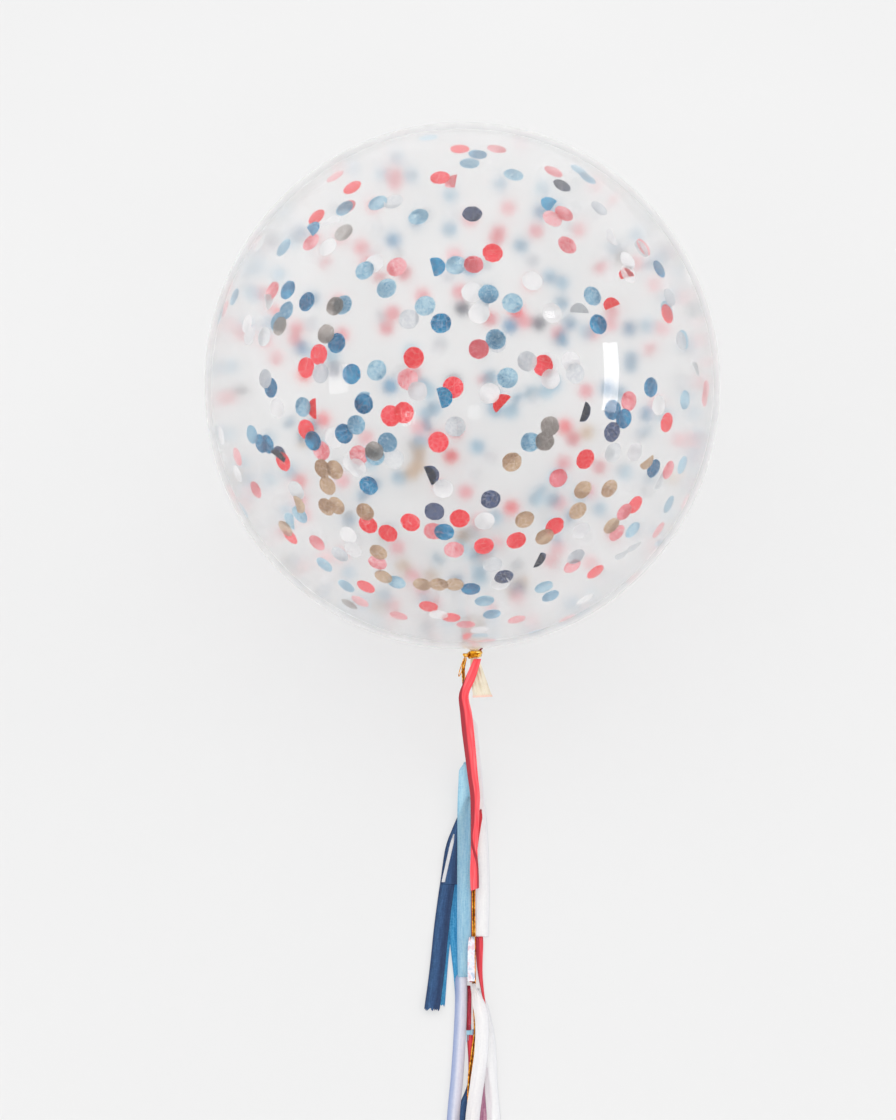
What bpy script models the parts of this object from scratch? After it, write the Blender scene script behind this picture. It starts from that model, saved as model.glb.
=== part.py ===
# Confetti balloon: a large round clear balloon that lies on the floor, with its
# tied neck low and its tail of ribbon and tissue strips laid out from the neck.
#
# Metres, +Z up. The origin is the middle of the small flat spot that the balloon
# rests on. The neck and the tail point to -Y, and +X is the side that the end of
# the neck leans to.

import math

import bmesh
import bpy
from mathutils import Matrix, Vector

# The envelope, one moulded latex piece
BALLOON_WIDTH = 0.914
BALLOON_LENGTH = 0.928
NECK_DIP = math.radians(35)
NECK_LEAN = math.radians(2.7)
REST_SPOT_RADIUS = 0.045
FUNNEL_WIDTH = 0.076
PINCH_WIDTH = 0.014
NECK_RISE = 0.0045
NECK_END_LENGTH = 0.070
NECK_END_WIDTH = 0.038
NECK_END_THICKNESS = 0.005
NECK_END_SWAY = 0.011
LIP_BEAD = 0.0016

# The gold tie round the neck, and its knot
TIE_TURNS = 3
TIE_STRAND = 0.0045
KNOT_WIDTH = 0.010
KNOT_ANGLE = math.radians(205)

# The gold foil cord, and how it comes down from the knot to the floor
CORD_DIAMETER = 0.0065
CORD_LENGTH = 1.04
HANG_TENSION = 0.25
END_KNOT_WIDTH = 0.012

# The strips lie flat in layers, below and above the cord
STRIP_THICKNESS = 0.0005
LAYERS_BELOW_CORD = 5
TIED_SHARE = 0.3
TIED_LENGTH = 0.016
POINT_SHARE = 0.22
POINT_LENGTH = 0.14
FRONT_LIFT = 0.013
FRONT_LIFT_START = 0.04
FRONT_LIFT_LENGTH = 0.06

# Spaces between pieces that touch, and the fineness of the meshes
TOUCH_GAP = 0.00035
TURNED_STEPS = 56
BODY_RINGS = 36
FUNNEL_RINGS = 6
NECK_END_RINGS = 7
HANGING_BENDS = 20
LYING_BEND_SPACING = 0.035
CORD_BEND_SPACING = 0.016

COLLECTION_NAME = "confetti_balloon"

# Each finish: its colour, roughness and metallic value
FINISHES = {
    "clear_latex": ((0.86, 0.86, 0.85), 0.12, 0.0),
    "gold_foil": ((0.83, 0.52, 0.13), 0.25, 0.9),
    "red": ((0.84, 0.05, 0.07), 0.45, 0.0),
    "crimson": ((0.42, 0.02, 0.05), 0.5, 0.0),
    "mauve": ((0.45, 0.20, 0.30), 0.5, 0.0),
    "sky": ((0.42, 0.66, 0.84), 0.55, 0.0),
    "teal": ((0.06, 0.32, 0.52), 0.55, 0.0),
    "navy": ((0.03, 0.08, 0.20), 0.4, 0.0),
    "white": ((0.90, 0.90, 0.92), 0.5, 0.0),
    "lavender": ((0.72, 0.76, 0.90), 0.45, 0.0),
    "silver": ((0.80, 0.83, 0.88), 0.2, 0.8),
}

# Each strip: its name and finish, the distance along the tail at which it is tied,
# its length and width, its layer, and its middle's distances from the balloon's
# middle plane, evenly spaced from the tied end to the free end. Layers count from
# 1 at the floor, or from 1 on top of the cord where over_cord is set. A strip may
# have a pointed free end, and its own width at the tie and length of the gather.
STRIPS = [
    dict(name="red_ribbon_top", finish="red", start=0.008, length=0.432, width=0.018,
         layer=1, over_cord=True, in_front=True, across=(
             0.027, 0.015, 0.003, 0.0075, 0.0125, 0.018, 0.0215, 0.0255, 0.024,
             0.022, 0.021, 0.021, 0.0215)),
    dict(name="sky_strip_top", finish="sky", start=0.20, length=0.392, width=0.0245,
         layer=5, across=(0.0075, 0.0038, 0.0034, 0.0028, 0.0025, 0.0033)),
    dict(name="white_strip_right", finish="white", start=0.118, length=0.402, width=0.023,
         layer=1, across=(0.0147, 0.0245, 0.034, 0.0364, 0.0333)),
    dict(name="navy_strip_short", finish="navy", start=0.262, length=0.162, width=0.030,
         layer=4, tied_length=0.13, across=(0.012, -0.008, -0.018, -0.0225)),
    dict(name="navy_strip_long", finish="navy", start=0.262, length=0.39, width=0.026,
         layer=3, tied_length=0.10,
         across=(0.012, -0.014, -0.026, -0.036, -0.0435, -0.0527)),
    dict(name="teal_strip_left", finish="teal", start=0.28, length=0.364, width=0.025,
         layer=1, tied_length=0.06, across=(0.008, -0.012, -0.026, -0.0365, -0.0435)),
    dict(name="teal_strip_right", finish="teal", start=0.28, length=0.354, width=0.024,
         layer=2, tied_length=0.06, pointed=True,
         across=(0.008, -0.008, -0.013, -0.0114, -0.0108)),
    dict(name="white_sliver", finish="white", start=0.33, length=0.09, width=0.006,
         layer=5, across=(-0.0149, -0.0245, -0.034)),
    dict(name="red_strip_thin", finish="red", start=0.284, length=0.316, width=0.010,
         layer=2, across=(0.034, 0.0215, 0.0179, 0.0166, 0.0159)),
    dict(name="silver_strip", finish="silver", start=0.524, length=0.078, width=0.012,
         layer=1, over_cord=True, tied_share=0.8, across=(0.0151, 0.0138, 0.0138)),
    dict(name="red_strip_right", finish="red", start=0.52, length=0.128, width=0.0145,
         layer=3, tied_share=0.9, pointed=True, across=(0.0282, 0.0292, 0.0376)),
    dict(name="crimson_strip", finish="crimson", start=0.606, length=0.076, width=0.0095,
         layer=3, tied_share=0.6, across=(0.0095, 0.009, 0.0081)),
    dict(name="red_strip_low", finish="red", start=0.69, length=0.10, width=0.0135,
         layer=3, tied_share=0.8, pointed=True, across=(0.0113, 0.011, 0.006)),
    dict(name="teal_strip_low", finish="teal", start=0.68, length=0.075, width=0.011,
         layer=1, tied_share=0.8, pointed=True, across=(0.018, 0.0185, 0.020)),
    dict(name="sky_strip_short", finish="sky", start=0.672, length=0.03, width=0.009,
         layer=2, tied_share=0.8, across=(0.0098, 0.0097, 0.0096)),
    dict(name="lavender_strip", finish="lavender", start=0.58, length=0.42, width=0.0205,
         layer=4, across=(
             -0.0031, -0.0036, -0.0065, -0.0108, -0.0165, -0.019, -0.018, -0.016)),
    dict(name="white_strip_front", finish="white", start=0.606, length=0.43, width=0.023,
         layer=1, over_cord=True, tied_length=0.04, across=(
             0.0171, 0.030, 0.030, 0.0227, 0.0147, 0.010, 0.008, 0.010, 0.013)),
    dict(name="white_strip_side", finish="white", start=0.61, length=0.40, width=0.022,
         layer=2, tied_length=0.03, across=(0.024, 0.0411, 0.0448, 0.0495, 0.052, 0.053)),
    dict(name="mauve_strip", finish="mauve", start=0.745, length=0.30, width=0.021,
         layer=1, tied_length=0.05, across=(0.0375, 0.0345, 0.035, 0.037, 0.039)),
    dict(name="navy_strip_low", finish="navy", start=0.77, length=0.31, width=0.022,
         layer=2, tied_length=0.05, across=(0.0095, -0.007, -0.010, -0.008, -0.006)),
    dict(name="sky_strip_end", finish="sky", start=0.86, length=0.26, width=0.022,
         layer=1, across=(0.009, -0.007, -0.020, -0.027)),
    dict(name="red_strip_end", finish="red", start=0.87, length=0.24, width=0.020,
         layer=3, across=(0.014, 0.026, 0.032, 0.036)),
    dict(name="white_strip_end", finish="white", start=0.89, length=0.25, width=0.023,
         layer=5, across=(0.010, 0.006, 0.004, 0.006)),
]

# The cord's middle past its knot: distance along the tail, and distance from the
# balloon's middle plane
CORD_ROUTE = [
    (0.026, 0.002), (0.048, 0.003), (0.09, 0.006), (0.178, 0.0112), (0.24, 0.0165),
    (0.306, 0.0216), (0.37, 0.0205), (0.442, 0.0193), (0.52, 0.0189), (0.57, 0.0186),
    (0.622, 0.0186), (0.684, 0.020), (0.72, 0.0155), (0.76, 0.010), (0.85, 0.008),
    (0.95, 0.009), (1.06, 0.011),
]

# Worked out from the sizes above
HALF_WIDTH = BALLOON_WIDTH / 2
HALF_LENGTH = BALLOON_LENGTH / 2
BALLOON_TURN = Matrix.Rotation(NECK_DIP - math.pi / 2, 4, "X") @ Matrix.Rotation(
    -NECK_LEAN, 4, "Y"
)

TIE_HEIGHT = TIE_TURNS * TIE_STRAND
PINCH_START = HALF_LENGTH + NECK_RISE
PINCH_END = PINCH_START + TIE_HEIGHT + 2 * TOUCH_GAP
TIE_INNER = PINCH_WIDTH / 2 + TOUCH_GAP
TIE_OUTER = TIE_INNER + TIE_STRAND
KNOT_PLACE = TIE_OUTER + KNOT_WIDTH / 2 + TOUCH_GAP

LAYER_PITCH = STRIP_THICKNESS + TOUCH_GAP
CORD_HEIGHT = LAYERS_BELOW_CORD * LAYER_PITCH + CORD_DIAMETER / 2


def smooth(share):
    share = min(max(share, 0.0), 1.0)
    return share * share * (3 - 2 * share)


def balloon_frame():
    # Lifts the tilted ellipsoid until the floor cuts off the rest spot, and moves
    # it so that the spot's middle is the origin
    axis = BALLOON_TURN @ Vector((0, 0, 1))
    rise = axis.z
    lowest = math.sqrt(HALF_WIDTH**2 * (1 - rise**2) + (HALF_LENGTH * rise) ** 2)
    height = lowest * math.sqrt(1 - (REST_SPOT_RADIUS / HALF_WIDTH) ** 2)
    shift = (HALF_LENGTH**2 - HALF_WIDTH**2) * rise / lowest
    return Matrix.Translation((shift * axis.x, shift * axis.y, height)) @ BALLOON_TURN


def material(name):
    found = bpy.data.materials.get(name)
    if found:
        return found
    colour, roughness, metallic = FINISHES[name]
    made = bpy.data.materials.new(name)
    made.use_nodes = True
    shader = made.node_tree.nodes["Principled BSDF"]
    shader.inputs["Base Color"].default_value = (*colour, 1.0)
    shader.inputs["Roughness"].default_value = roughness
    shader.inputs["Metallic"].default_value = metallic
    return made


def add_object(name, data, finish, collection):
    made = bpy.data.objects.new(name, data)
    data.materials.append(material(finish))
    collection.objects.link(made)
    return made


def turned(name, profile, closed, steps, finish, collection):
    # Turns a profile of (radius, height) points round the local Z axis
    mesh = bpy.data.meshes.new(name + "_profile")
    bm = bmesh.new()
    points = [bm.verts.new((radius, 0, height)) for radius, height in profile]
    followers = points[1:] + points[:1] if closed else points[1:]
    for first, second in zip(points, followers):
        bm.edges.new((first, second))
    bm.to_mesh(mesh)
    bm.free()
    source = add_object(name + "_profile", mesh, finish, collection)
    screw = source.modifiers.new("turn", "SCREW")
    screw.axis = "Z"
    screw.steps = screw.render_steps = steps
    screw.use_merge_vertices = True
    screw.merge_threshold = 0.00005
    graph = bpy.context.evaluated_depsgraph_get()
    whole = bpy.data.meshes.new_from_object(source.evaluated_get(graph))
    made = bpy.data.objects.new(name, whole)
    collection.objects.link(made)
    bpy.data.objects.remove(source)
    return made


def bezier(start, start_pull, end_pull, end, count):
    # Points of a cubic curve in the profile plane, without its first point
    corners = (start, start_pull, end_pull, end)
    points = []
    for i in range(1, count + 1):
        t = i / count
        weights = ((1 - t) ** 3, 3 * t * (1 - t) ** 2, 3 * t * t * (1 - t), t**3)
        points.append(tuple(sum(w * c[k] for w, c in zip(weights, corners)) for k in (0, 1)))
    return points


def balloon_profile():
    # From the crown, down the outer side, through the funnel and the pinch, to the lip
    funnel_turn = math.pi - math.asin(FUNNEL_WIDTH / BALLOON_WIDTH)
    points = [(0.0, HALF_LENGTH)]
    for i in range(1, BODY_RINGS + 1):
        turn = funnel_turn * i / BODY_RINGS
        points.append((HALF_WIDTH * math.sin(turn), HALF_LENGTH * math.cos(turn)))
    radius, height = points[-1]
    slope = Vector((HALF_WIDTH * math.cos(funnel_turn), -HALF_LENGTH * math.sin(funnel_turn)))
    pull = slope.normalized() * FUNNEL_WIDTH * 0.3
    pinch = PINCH_WIDTH / 2
    points += bezier(
        (radius, height),
        (radius + pull.x, height + pull.y),
        (pinch, -PINCH_START + NECK_RISE),
        (pinch, -PINCH_START),
        FUNNEL_RINGS,
    )
    points.append((pinch, -PINCH_END))
    lip = NECK_END_WIDTH / 2 - LIP_BEAD
    bead_start = NECK_END_LENGTH - 2 * LIP_BEAD
    for i in range(1, NECK_END_RINGS + 1):
        share = i / NECK_END_RINGS
        points.append((pinch + (lip - pinch) * share**0.75, -PINCH_END - bead_start * share))
    end = -PINCH_END - NECK_END_LENGTH
    points.append((lip + LIP_BEAD, end + LIP_BEAD))
    points.append((lip, end))
    points.append((0.0, end))
    return points


def flatten_neck_end(mesh):
    # The free end of the neck is pressed flat, and sways to +X
    flat = NECK_END_THICKNESS / NECK_END_WIDTH
    for vertex in mesh.vertices:
        share = (-PINCH_END - vertex.co.z) / NECK_END_LENGTH
        if share > 0:
            vertex.co.y *= 1 + (flat - 1) * smooth(share * 1.6)
            vertex.co.x += NECK_END_SWAY * share**1.2


def build_balloon(frame, collection, cutters):
    balloon = turned("balloon", balloon_profile(), False, TURNED_STEPS, "clear_latex", collection)
    flatten_neck_end(balloon.data)
    balloon.matrix_world = frame
    balloon.data.shade_smooth()

    mesh = bpy.data.meshes.new("floor_cutter")
    bm = bmesh.new()
    bmesh.ops.create_cube(bm, size=BALLOON_WIDTH)
    bm.to_mesh(mesh)
    bm.free()
    cutter = bpy.data.objects.new("floor_cutter", mesh)
    cutter.location.z = -BALLOON_WIDTH / 2
    cutter.hide_render = True
    cutter.display_type = "WIRE"
    cutters.objects.link(cutter)

    cut = balloon.modifiers.new("rest_spot", "BOOLEAN")
    cut.operation = "DIFFERENCE"
    cut.object = cutter


def build_neck_tie(frame, collection):
    # Turns of foil side by side make a ring with one round bump for each turn
    top = -PINCH_START - TOUCH_GAP
    bump = TIE_STRAND / 2
    profile = [(TIE_INNER, top), (TIE_INNER + bump / 2, top)]
    for turn in range(TIE_TURNS):
        middle = top - TIE_STRAND * (turn + 0.5)
        for angle in (60, 20, -20, -60):
            lift = math.radians(angle)
            reach = TIE_INNER + bump + bump * math.cos(lift)
            profile.append((reach, middle + bump * math.sin(lift)))
    profile.append((TIE_INNER + bump / 2, top - TIE_HEIGHT))
    profile.append((TIE_INNER, top - TIE_HEIGHT))
    tie = turned("neck_tie", profile, True, 24, "gold_foil", collection)
    tie.matrix_world = frame
    tie.data.shade_smooth()


def knot_centre(frame):
    middle = -(PINCH_START + PINCH_END) / 2
    side = Vector((math.cos(KNOT_ANGLE), math.sin(KNOT_ANGLE), 0)) * KNOT_PLACE
    return frame @ (side + Vector((0, 0, middle)))


def build_knot(name, centre, width, collection):
    mesh = bpy.data.meshes.new(name)
    bm = bmesh.new()
    bmesh.ops.create_uvsphere(bm, u_segments=14, v_segments=8, radius=width / 2)
    bm.to_mesh(mesh)
    bm.free()
    knot = add_object(name, mesh, "gold_foil", collection)
    knot.location = centre
    knot.data.shade_smooth()


class Tail:
    # The line that the tail follows, which is the cord's middle: a hanging curve
    # from the knot down to the floor, and then straight along the floor

    def __init__(self, knot):
        self.knot = knot
        drop = knot.z - CORD_HEIGHT
        self.hanging = math.sqrt(drop * drop + 2 * HANG_TENSION * drop)
        self.run = HANG_TENSION * math.asinh(self.hanging / HANG_TENSION)
        self.bends = [self.hanging * k / HANGING_BENDS for k in range(HANGING_BENDS + 1)]
        reach = max(strip["start"] + strip["length"] for strip in STRIPS)
        while self.bends[-1] < reach:
            self.bends.append(self.bends[-1] + LYING_BEND_SPACING)

    def place(self, distance, across, lift):
        # The point at a distance along the tail, lifted square to it from the middle
        left = max(self.hanging - distance, 0.0)
        run = self.run - HANG_TENSION * math.asinh(left / HANG_TENSION)
        run += max(distance - self.hanging, 0.0)
        height = CORD_HEIGHT + math.hypot(HANG_TENSION, left) - HANG_TENSION
        steep = math.atan2(left, HANG_TENSION)
        return Vector((
            across,
            self.knot.y - run - lift * math.sin(steep),
            height + lift * math.cos(steep),
        ))

    def stations(self, start, length):
        # Every strip bends at the same places along the tail, so that layers stay apart
        clear = 0.25 * self.hanging / HANGING_BENDS
        inside = [b for b in self.bends if start + clear < b < start + length - clear]
        return [start, *inside, start + length]


def through(points, where):
    # A smooth curve through (place, value) points that are in order
    last = len(points) - 1
    i = next((k for k in range(last) if where <= points[k + 1][0]), last - 1)
    (x0, y0), (x1, y1) = points[i], points[i + 1]
    before = points[max(i - 1, 0)]
    after = points[min(i + 2, last)]
    span = x1 - x0
    rise0 = (y1 - before[1]) / (x1 - before[0]) * span
    rise1 = (after[1] - y0) / (after[0] - x0) * span
    t = min(max((where - x0) / span, 0.0), 1.0)
    return (
        y0 * (2 * t**3 - 3 * t**2 + 1)
        + rise0 * (t**3 - 2 * t**2 + t)
        + y1 * (3 * t**2 - 2 * t**3)
        + rise1 * (t**3 - t**2)
    )


def strip_lift(strip, distance):
    # The height of the strip's middle above the cord's middle
    if strip.get("over_cord"):
        lift = CORD_DIAMETER / 2 + strip["layer"] * LAYER_PITCH - STRIP_THICKNESS / 2
    else:
        lift = (strip["layer"] - 1) * LAYER_PITCH + STRIP_THICKNESS / 2 - CORD_HEIGHT
    if strip.get("in_front"):
        lift += FRONT_LIFT * (1 - smooth((distance - FRONT_LIFT_START) / FRONT_LIFT_LENGTH))
    return lift


def strip_half_width(strip, distance):
    tied_share = strip.get("tied_share", TIED_SHARE)
    from_tie = (distance - strip["start"]) / strip.get("tied_length", TIED_LENGTH)
    share = tied_share + (1 - tied_share) * smooth(from_tie)
    if strip.get("pointed"):
        from_end = strip["start"] + strip["length"] - distance
        share *= POINT_SHARE + (1 - POINT_SHARE) * smooth(from_end / POINT_LENGTH)
    return strip["width"] * share / 2


def build_strip(tail, strip, collection):
    start, length, across = strip["start"], strip["length"], strip["across"]
    middle = [(start + length * k / (len(across) - 1), x) for k, x in enumerate(across)]
    stations = tail.stations(start, length)
    mesh = bpy.data.meshes.new(strip["name"])
    bm = bmesh.new()
    bmesh.ops.create_grid(bm, x_segments=1, y_segments=len(stations) - 1, size=0.5)
    for vertex in bm.verts:
        distance = stations[round((vertex.co.y + 0.5) * (len(stations) - 1))]
        side = 2 * vertex.co.x * strip_half_width(strip, distance)
        lift = strip_lift(strip, distance)
        vertex.co = tail.place(distance, through(middle, distance) + side, lift)
    bm.to_mesh(mesh)
    bm.free()
    made = add_object(strip["name"], mesh, strip["finish"], collection)
    shell = made.modifiers.new("thickness", "SOLIDIFY")
    shell.thickness = STRIP_THICKNESS
    shell.offset = 0


def build_cord(tail, collection):
    route = [(0.0, tail.knot.x), *CORD_ROUTE]
    start = KNOT_WIDTH / 2 + TOUCH_GAP
    count = round((CORD_LENGTH - start) / CORD_BEND_SPACING)
    curve = bpy.data.curves.new("cord", "CURVE")
    curve.dimensions = "3D"
    curve.bevel_depth = CORD_DIAMETER / 2
    curve.bevel_resolution = 2
    curve.render_resolution_u = 0
    curve.use_fill_caps = True
    spline = curve.splines.new("POLY")
    spline.points.add(count)
    for i in range(count + 1):
        distance = start + (CORD_LENGTH - start) * i / count
        spline.points[i].co = (*tail.place(distance, through(route, distance), 0.0), 1.0)
    add_object("cord", curve, "gold_foil", collection)
    end = CORD_LENGTH + END_KNOT_WIDTH / 2 + TOUCH_GAP
    centre = tail.place(end, through(route, end), END_KNOT_WIDTH / 2 - CORD_DIAMETER / 2)
    build_knot("end_knot", centre, END_KNOT_WIDTH, collection)


def build():
    for old in list(bpy.data.objects):
        bpy.data.objects.remove(old, do_unlink=True)
    collection = bpy.data.collections.new(COLLECTION_NAME)
    cutters = bpy.data.collections.new("cutters")
    for made in (collection, cutters):
        bpy.context.scene.collection.children.link(made)

    frame = balloon_frame()
    build_balloon(frame, collection, cutters)
    build_neck_tie(frame, collection)
    build_knot("neck_knot", knot_centre(frame), KNOT_WIDTH, collection)
    tail = Tail(knot_centre(frame))
    build_cord(tail, collection)
    for strip in STRIPS:
        build_strip(tail, strip, collection)


build()
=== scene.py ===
import math
import random

import bmesh
import bpy
from mathutils import Matrix, Vector, noise


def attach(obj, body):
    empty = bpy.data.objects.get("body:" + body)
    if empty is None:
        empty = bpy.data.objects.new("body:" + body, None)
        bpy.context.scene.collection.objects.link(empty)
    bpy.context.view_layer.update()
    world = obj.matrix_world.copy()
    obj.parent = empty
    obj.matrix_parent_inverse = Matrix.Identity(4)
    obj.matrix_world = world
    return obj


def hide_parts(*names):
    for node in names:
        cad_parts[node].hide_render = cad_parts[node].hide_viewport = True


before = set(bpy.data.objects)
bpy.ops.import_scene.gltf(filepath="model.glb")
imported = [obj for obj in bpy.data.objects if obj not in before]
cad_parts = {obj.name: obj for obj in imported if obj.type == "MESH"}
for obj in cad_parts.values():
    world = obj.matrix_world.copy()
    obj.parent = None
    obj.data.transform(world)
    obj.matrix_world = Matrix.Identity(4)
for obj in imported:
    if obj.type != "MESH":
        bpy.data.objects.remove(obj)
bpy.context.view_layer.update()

# The looks of a clear confetti balloon that lies on the floor with its tail laid out.
# Metres, +Z up. The tail points to -Y, and the camera looks down along +Y.


def linearColour(hexText):
    # sRGB hex to the linear values that shaders take
    shares = [int(hexText[k:k + 2], 16) / 255 for k in (1, 3, 5)]
    linear = [s / 12.92 if s <= 0.04045 else ((s + 0.055) / 1.055) ** 2.4 for s in shares]
    return (*linear, 1.0)


def smooth(share):
    # Eases from 0 to 1, and stays there outside them
    share = min(max(share, 0.0), 1.0)
    return share * share * (3 - 2 * share)


def addNode(tree, kind, inputs=(), stops=(), **settings):
    # Adds a node. An input given as a socket is linked, one given as a node is linked to
    # its first output, and any other value is set. Stops are a ramp's places and colours
    made = tree.nodes.new(kind)
    for name, value in settings.items():
        setattr(made, name, value)
    for name, value in dict(inputs).items():
        if isinstance(value, bpy.types.Node):
            value = value.outputs[0]
        if isinstance(value, bpy.types.NodeSocket):
            tree.links.new(value, made.inputs[name])
        else:
            made.inputs[name].default_value = value
    if stops:
        steps = made.color_ramp.elements
        while len(steps) < len(stops):
            steps.new(1.0)
        for step, (place, colour) in zip(steps, stops):
            step.position = place
            step.color = linearColour(colour)
    return made


def evenPlaces(values, first=0.0, last=1.0):
    # Pairs each value with its place, from the first place to the last in even steps
    step = (last - first) / (len(values) - 1)
    return [(first + step * k, value) for k, value in enumerate(values)]


def startMaterial(name):
    # An empty material, its tree, and a place on the object for its patterns
    made = bpy.data.materials.new(name)
    made.use_nodes = True
    made.node_tree.nodes.clear()
    place = addNode(made.node_tree, "ShaderNodeTexCoord")
    return made, made.node_tree, place.outputs["Object"]


def endMaterial(material, looks, thin=0.0):
    # Gives a material its shader. A thin one lets a share of the light through, and what
    # meets a face from inside passes straight on, so that a sheet's two faces count as one
    tree = material.node_tree
    shader = addNode(tree, "ShaderNodeBsdfPrincipled", looks)
    if thin:
        through = addNode(tree, "ShaderNodeBsdfTranslucent", {"Color": looks["Base Color"]})
        front = addNode(tree, "ShaderNodeMixShader", {0: thin, 1: shader, 2: through})
        side = addNode(tree, "ShaderNodeNewGeometry").outputs["Backfacing"]
        clear = addNode(tree, "ShaderNodeBsdfTransparent")
        shader = addNode(tree, "ShaderNodeMixShader", {0: side, 1: front, 2: clear})
    addNode(tree, "ShaderNodeOutputMaterial", {"Surface": shader})
    return material


def startTree(name, sizes):
    # A Geometry Nodes tree with a named input for each size
    tree = bpy.data.node_groups.new(name, "GeometryNodeTree")
    tree.interface.new_socket("Geometry", in_out="INPUT", socket_type="NodeSocketGeometry")
    for label, kind in sizes.items():
        tree.interface.new_socket(label, in_out="INPUT", socket_type="NodeSocket" + kind)
    tree.interface.new_socket("Geometry", in_out="OUTPUT", socket_type="NodeSocketGeometry")
    return tree, addNode(tree, "NodeGroupInput").outputs


def makeObject(name, data):
    made = bpy.data.objects.new(name, data)
    bpy.context.scene.collection.objects.link(made)
    return made


def pointMesh(name, points, faces=()):
    made = bpy.data.meshes.new(name)
    made.from_pydata(points, [], faces)
    return made


def endMesh(bm, name):
    made = bpy.data.meshes.new(name)
    bm.to_mesh(made)
    bm.free()
    return made


def plainMesh(source):
    # What an object's modifiers make of it
    graph = bpy.context.evaluated_depsgraph_get()
    return bpy.data.meshes.new_from_object(source.evaluated_get(graph))


def storeValues(mesh, name, values, kind="FLOAT"):
    # One value for each point, which shaders and node trees read by its name
    mesh.attributes.new(name, kind, "POINT").data.foreach_set("value", values)


def runTree(tree, source, values):
    # The tree's result as a plain mesh. Inputs are set by their sockets' identifiers
    modifier = source.modifiers.new(tree.name, "NODES")
    modifier.node_group = tree
    for item in tree.interface.items_tree:
        if item.in_out == "INPUT" and item.name in values:
            modifier[item.identifier] = values[item.name]
    made = plainMesh(source)
    source.modifiers.remove(modifier)
    return made


def makePiece(name, mesh, nodes=(), shade=True):
    # A finished piece: on the part's one body, in the place of its CAD nodes
    mesh.polygons.foreach_set("use_smooth", [shade] * len(mesh.polygons))
    piece = makeObject(name, mesh)
    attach(piece, "root")
    if nodes:
        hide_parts(*nodes)
    return piece


def loft(rings, capped=True):
    # A tube through rings of points, each ring closed on itself
    count = len(rings[0])
    points = [p for ring in rings for p in ring]
    faces = []
    for first in range(0, len(points) - count, count):
        for k in range(count):
            a, b = first + k, first + (k + 1) % count
            faces.append((a, b, b + count, a + count))
    if capped:
        for first in (0, len(rings) * count - count):
            points.append(sum(points[first:first + count], Vector()) / count)
            for k in range(count):
                faces.append((first + k, first + (k + 1) % count, len(points) - 1))
    return pointMesh("loft", points, faces)


def joinMeshes(name, parts):
    # Parts are (mesh, hollow, material index): a hollow's faces point into it
    whole = bmesh.new()
    for mesh, hollow, index in parts:
        bm = bmesh.new()
        bm.from_mesh(mesh)
        bmesh.ops.remove_doubles(bm, verts=bm.verts, dist=0.000002)
        bmesh.ops.recalc_face_normals(bm, faces=bm.faces)
        if hollow:
            bmesh.ops.reverse_faces(bm, faces=bm.faces)
        for face in bm.faces:
            face.material_index = index
        bm.to_mesh(mesh)
        bm.free()
        whole.from_mesh(mesh)
    return endMesh(whole, name)


# The latex envelope
skin = dict(
    width=0.914,
    length=0.928,
    neckDip=math.radians(35),
    neckLean=math.radians(2.7),
    restSpotRadius=0.045,
    restEase=0.0008,        # rounds the rest spot's edge
    wall=0.0005,
    around=168,
    bodyRings=120,
    funnelWidth=0.076,
    funnelPull=0.3,         # how far the round side runs on into the funnel
    funnelRings=14,
    pinchWidth=0.014,
    neckRise=0.0045,
    pleats=13,
    pleatDepth=0.22,
    tieHeight=0.0142,
    neckEndLength=0.070,
    neckEndWidth=0.038,
    neckEndThickness=0.005,
    neckEndSway=0.011,
    neckEndRings=26,
    neckCrease=0.0011,
    neckCreaseWaves=420,    # in radians for each metre across
    neckFineCrease=0.0006,
    neckFineCreaseWaves=900,
    neckWall=0.0009,
    lipBead=0.0016,
    lipSteps=6,
    lipThickening=0.6,      # how far the lip swells past the neck's wall, in beads
    lipTintHeight=2.2,      # how far the pink reaches up from the lip, in beads
    ivoryRise=0.004,        # how far above the pinch the skin turns ivory
    sleeveWidth=0.042,
    sleeveHeight=0.052,
    sleeveWall=0.0007,
    sleeveLift=0.0035,      # from the body's lowest point to the sleeve's foot
    sleeveNarrowing=0.16,
    sleeveRipple=0.0006,
    sleeveSwell=0.0005,
    sleeveRim=0.0015,       # how uneven the collar's upper edge is
    sleeveRings=18,
)

halfWidth = skin["width"] / 2
halfLength = skin["length"] / 2
balloonTurn = (
    Matrix.Rotation(skin["neckDip"] - math.pi / 2, 4, "X")
    @ Matrix.Rotation(-skin["neckLean"], 4, "Y")
)


def balloonFrame():
    # The tilted envelope, lowered until the floor takes its rest spot, which is the origin
    axis = balloonTurn @ Vector((0, 0, 1))
    lowest = math.sqrt(halfWidth**2 * (1 - axis.z**2) + (halfLength * axis.z) ** 2)
    height = lowest * math.sqrt(1 - (skin["restSpotRadius"] / halfWidth) ** 2)
    shift = (halfLength**2 - halfWidth**2) * axis.z / lowest
    return Matrix.Translation((shift * axis.x, shift * axis.y, height)) @ balloonTurn


placed = balloonFrame()
unplaced = placed.inverted()
pinchStart = halfLength + skin["neckRise"]
pinchEnd = pinchStart + skin["tieHeight"]


def roundAxis(reach, turn, height):
    # A place round the balloon's own axis
    return placed @ Vector((reach * math.cos(turn), reach * math.sin(turn), height))


def turns(count):
    return [2 * math.pi * k / count for k in range(count)]


def restOnFloor(point, gap):
    # Eases a point up from the floor, so that the skin settles on it in a flat spot
    above = point.z - gap
    point.z = gap + (above + math.sqrt(above * above + skin["restEase"] ** 2)) / 2
    return point


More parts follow.
